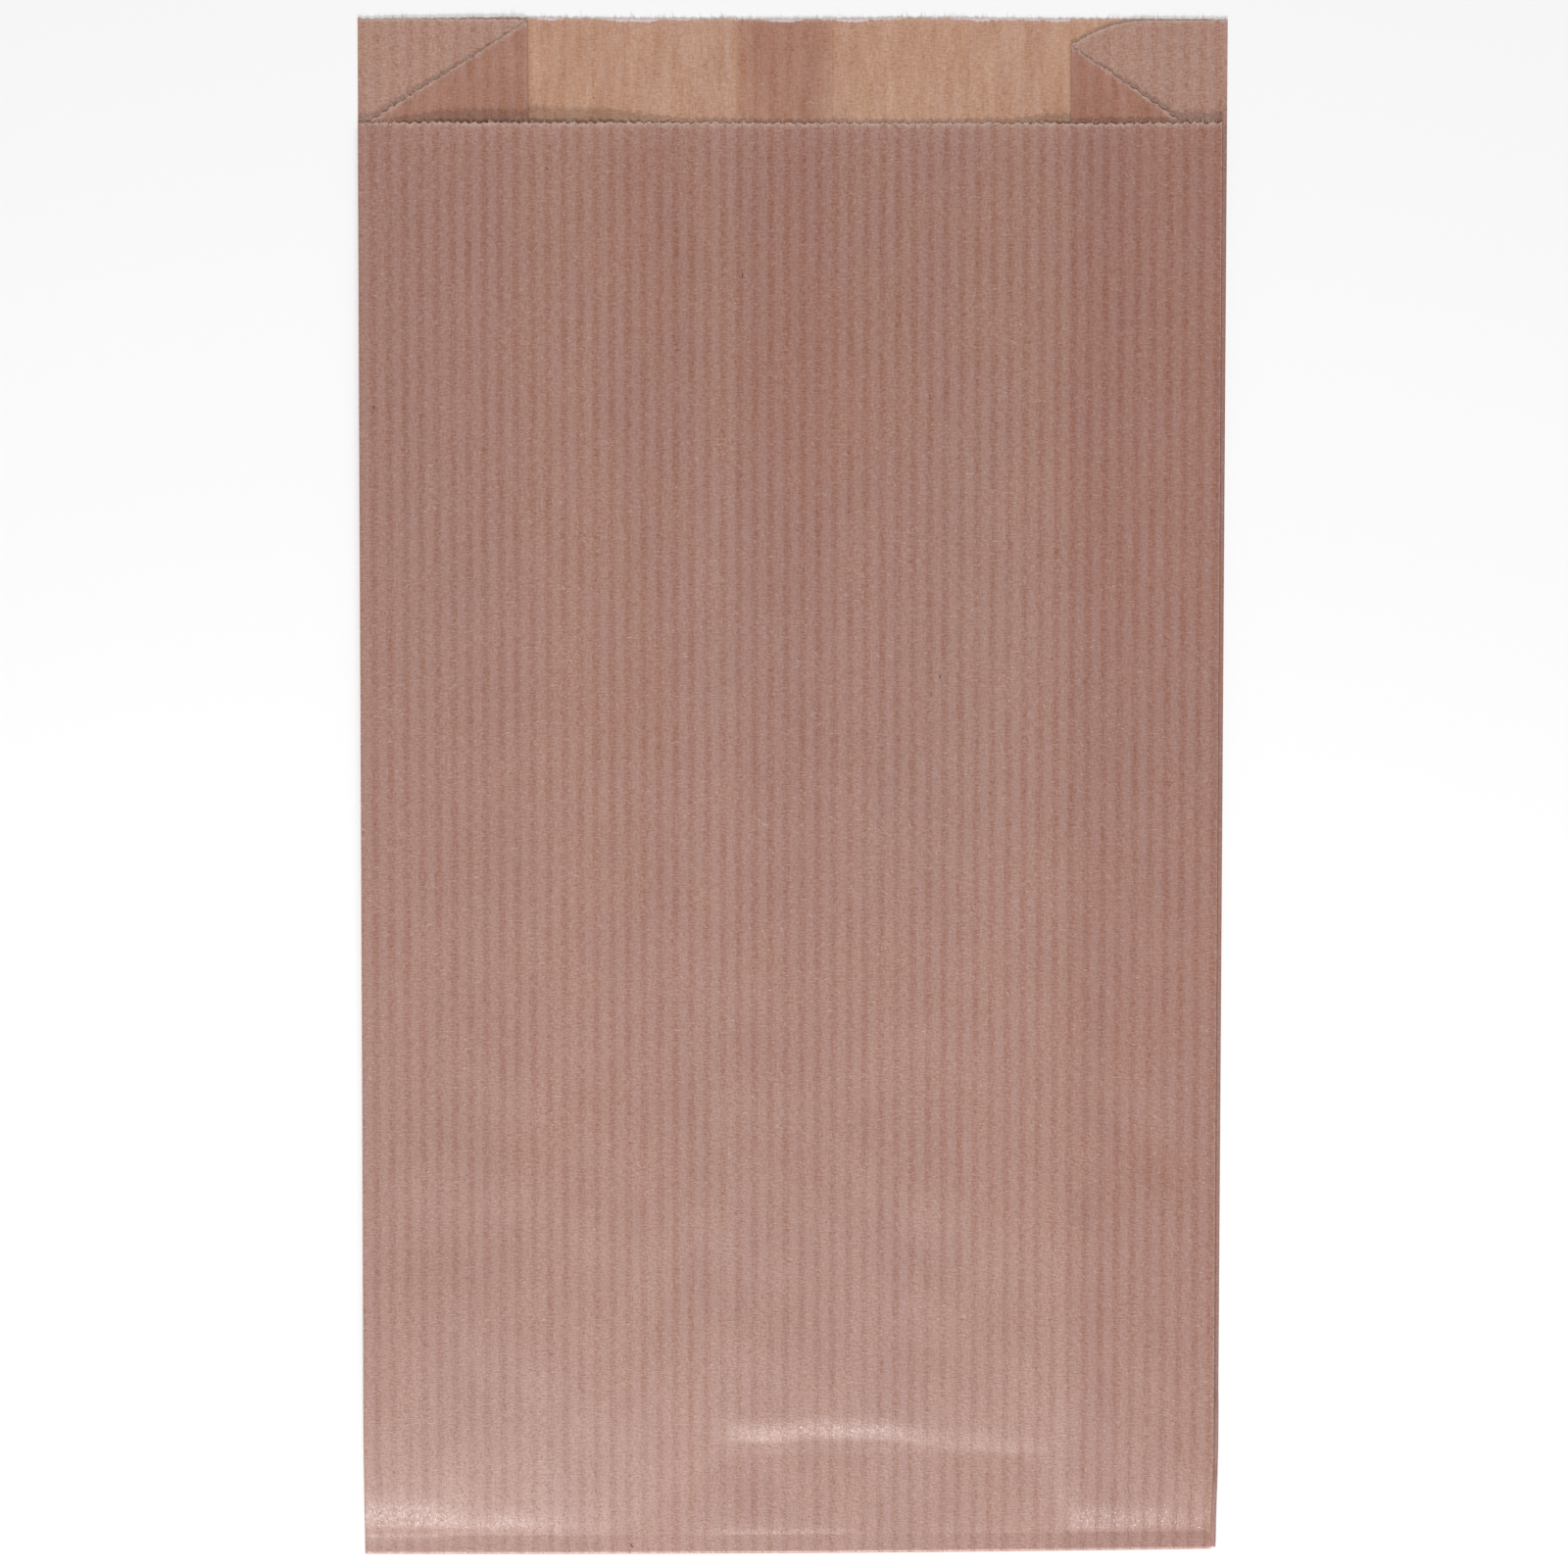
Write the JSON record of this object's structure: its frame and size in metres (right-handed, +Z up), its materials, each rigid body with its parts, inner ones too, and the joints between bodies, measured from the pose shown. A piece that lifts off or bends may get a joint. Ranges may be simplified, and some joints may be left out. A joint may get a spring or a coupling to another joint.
{
  "type": "paper bag",
  "caption": "Flat side-gusseted ribbed brown kraft paper bag with a toothed, stepped mouth, longer back panel and folded-under bottom.",
  "frame": {"origin": "on the table under the middle of the flat bag", "axes": "+Z up from the table through the front panel, +Y along the bag from the folded bottom to the mouth, +X across the bag"},
  "size_m": [0.1402, 0.2506, 0.0025],
  "materials": {
    "brown_kraft": "machine-glazed outside with fine lengthwise ribs, matt inside"
  },
  "bodies": {
    "root": {"paper_bag": "brown_kraft"}
  },
  "joints": []
}
